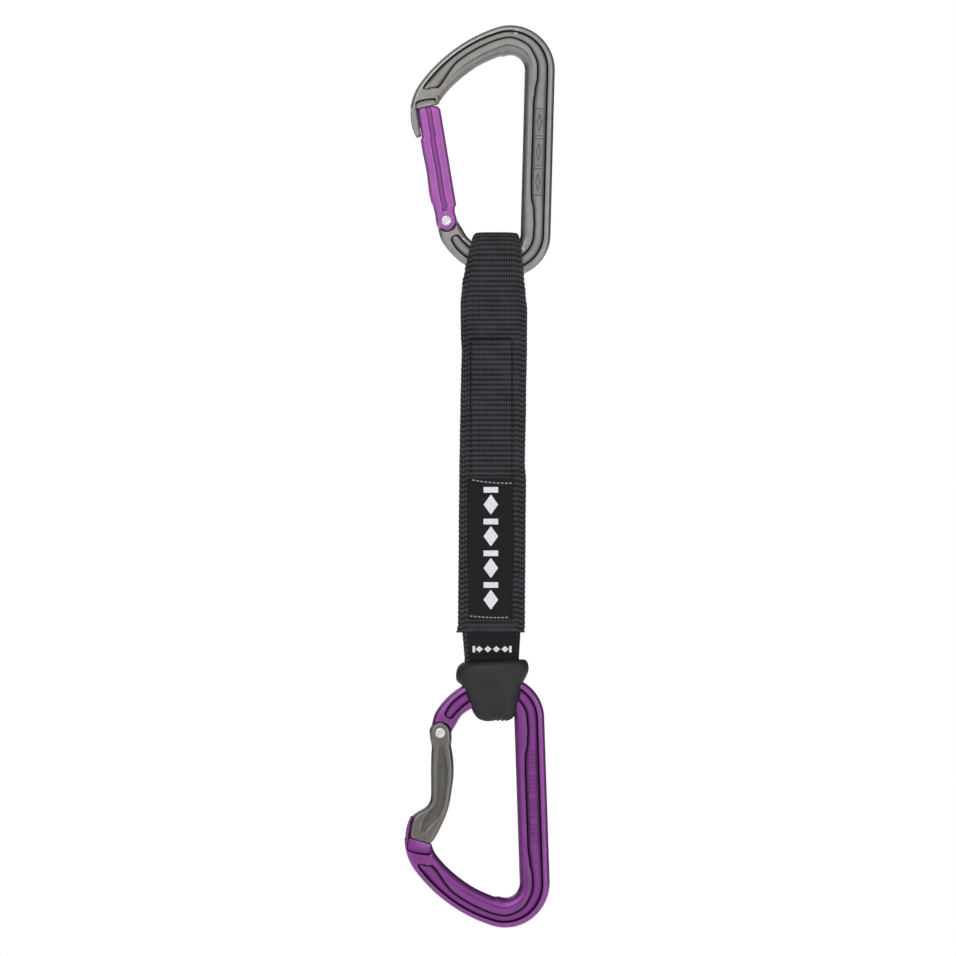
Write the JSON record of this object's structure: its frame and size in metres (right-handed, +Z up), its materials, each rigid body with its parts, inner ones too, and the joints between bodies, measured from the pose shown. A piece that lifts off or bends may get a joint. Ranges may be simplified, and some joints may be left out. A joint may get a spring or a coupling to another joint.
{
  "type": "climbing quickdraw",
  "caption": "Climbing quickdraw: a straight-gate and a bent-gate keylock carabiner joined by a flat sewn webbing sling with a rubber keeper at the rope end.",
  "frame": {"origin": "seat of the upper carabiner on a bolt hanger, the top of its inside curve, midway through its depth", "axes": "+Z up along the hanging sling, from the rope end to the bolt end; +X towards the spines, away from the gates; +Y through the carabiners from front to back"},
  "size_m": [0.0579, 0.0196, 0.3512],
  "materials": {
    "frame_grey": "satin anodised, warm grey",
    "gate_purple": "satin anodised, bright purple",
    "frame_purple": "satin anodised, dark purple",
    "gate_grey": "satin anodised, gunmetal grey",
    "rivet_steel": "bright",
    "inner_steel": "plain",
    "webbing": "woven charcoal webbing",
    "thread_dark": "twisted thread",
    "thread_light": "twisted thread",
    "label_black": "woven label",
    "label_satin": "satin label",
    "keeper_rubber": "matt moulded rubber"
  },
  "bodies": {
    "upper_carabiner": {"upper_frame": "frame_grey"},
    "upper_gate": {"upper_gate": "gate_purple", "upper_rivet": "rivet_steel"},
    "upper_plunger": {"upper_plunger": "inner_steel", "upper_spring": "inner_steel"},
    "sling_upper": {"sling_top_eye": "webbing", "top_bar_tack": "thread_dark"},
    "sling_lower": {"sling_front_layer": "webbing", "sling_back_layer": "webbing", "side_stitching": "thread_dark", "sling_neck": "webbing", "large_label": "label_black", "large_label_stitching": "thread_light", "small_label": "label_satin"},
    "lower_carabiner": {"lower_frame": "frame_purple", "sling_lower_eye": "webbing", "rubber_keeper": "keeper_rubber"},
    "lower_gate": {"lower_gate": "gate_grey", "lower_rivet": "rivet_steel"},
    "lower_plunger": {"lower_plunger": "inner_steel", "lower_spring": "inner_steel"}
  },
  "joints": [
    {"name": "upper_gate_hinge", "type": "hinge", "parent": "upper_carabiner", "child": "upper_gate", "pos_m": [-0.02441, 0, -0.06498], "axis": [0, 1, 0], "range_deg": [0, 36], "stiffness_Nm_per_rad": 0.3, "springref_deg": -45.84},
    {"name": "upper_plunger_slide", "type": "slide", "parent": "upper_gate", "child": "upper_plunger", "axis": [-0.1651, 0, 0.9863], "range_m": [0, 0.000756], "deforming": ["upper_spring"]},
    {"name": "sling_swing", "type": "hinge", "parent": "upper_carabiner", "child": "sling_upper", "pos_m": [-0.0048, 0, -0.0805], "axis": [1, 0, 0], "range_deg": [-60, 60]},
    {"name": "sling_twist", "type": "hinge", "parent": "sling_upper", "child": "sling_lower", "pos_m": [-0.00625, 0, -0.1124], "axis": [0, 0, 1], "range_deg": [-45, 45], "stiffness_Nm_per_rad": 0.02},
    {"name": "rope_end_tilt", "type": "hinge", "parent": "sling_lower", "child": "lower_carabiner", "pos_m": [-0.0065, 0, -0.2367], "axis": [1, 0, 0], "range_deg": [-25, 25], "stiffness_Nm_per_rad": 0.08},
    {"name": "lower_gate_hinge", "type": "hinge", "parent": "lower_carabiner", "child": "lower_gate", "pos_m": [-0.02681, 0, -0.26439], "axis": [0, -1, 0], "range_deg": [0, 36], "stiffness_Nm_per_rad": 0.3, "springref_deg": -45.84},
    {"name": "lower_plunger_slide", "type": "slide", "parent": "lower_gate", "child": "lower_plunger", "axis": [0.0331, 0, -0.9995], "range_m": [0, 0.000756], "deforming": ["lower_spring"]}
  ],
  "couplings": [
    {"joint": "upper_plunger_slide", "follows": "upper_gate_hinge", "m_per_rad": 0.0012},
    {"joint": "lower_plunger_slide", "follows": "lower_gate_hinge", "m_per_rad": 0.0012}
  ]
}
